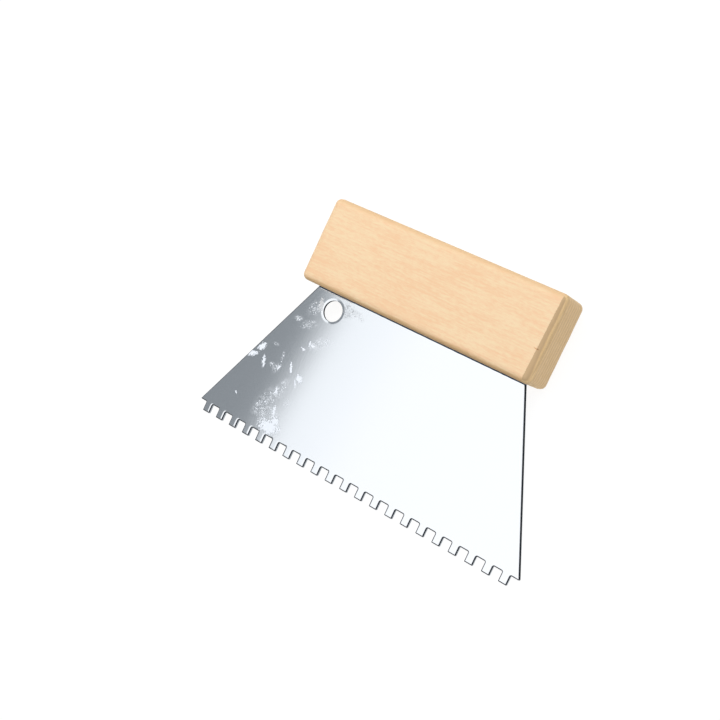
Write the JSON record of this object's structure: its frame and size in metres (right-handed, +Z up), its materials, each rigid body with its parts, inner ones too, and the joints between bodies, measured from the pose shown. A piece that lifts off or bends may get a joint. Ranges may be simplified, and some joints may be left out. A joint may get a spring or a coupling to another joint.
{
  "type": "notched trowel",
  "caption": "Notched adhesive trowel: a flat steel blade with a square-toothed edge, leaning sides and a hanging hole, let into a rounded wooden block handle and nailed.",
  "frame": {"origin": "middle of the bounding box on the bench that the trowel lies on, front face up, resting on its tooth tips and on the lower rear edge of its handle", "axes": "+X along the toothed edge, to the right as seen from the front; +Y from the teeth towards the handle, level with the bench; +Z up from the bench, 7.9 degrees off the blade's own normal"},
  "size_m": [0.18, 0.119, 0.0286],
  "materials": {
    "handle_wood": "sanded smooth, unvarnished beech",
    "blade_steel": "bright rolled sheet, lightly smudged",
    "nail_steel": "plain wire"
  },
  "bodies": {
    "root": {"handle_block": "handle_wood", "notched_blade": "blade_steel", "retaining_nail_1": "nail_steel", "retaining_nail_2": "nail_steel", "retaining_nail_3": "nail_steel"}
  },
  "joints": []
}
